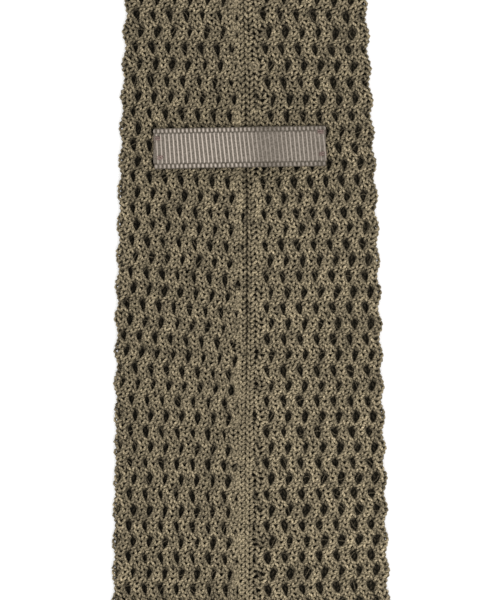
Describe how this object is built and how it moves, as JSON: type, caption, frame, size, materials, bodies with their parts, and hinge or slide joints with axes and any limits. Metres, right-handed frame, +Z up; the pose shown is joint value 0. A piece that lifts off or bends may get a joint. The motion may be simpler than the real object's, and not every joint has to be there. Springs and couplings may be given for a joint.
{
  "type": "knit tie",
  "caption": "Square-ended openwork knit tie lying flat, seamed back up, with a ribbed ribbon loop sewn across its wide blade.",
  "frame": {"origin": "middle of the tie's length and width, on the surface that its front face lies on", "axes": "+Y from the wide end to the narrow end, +Z up out of the seamed back, +X to the right seen from above with the narrow end away"},
  "size_m": [0.07, 1.45, 0.0063],
  "materials": {
    "knit": "matte plied yarn in open mesh stitch, olive taupe",
    "ribbon": "ribbed ribbon with a slight sheen, pinkish grey taupe"
  },
  "bodies": {
    "root": {"knit_body": "knit", "keeper_loop": "ribbon"}
  },
  "joints": []
}
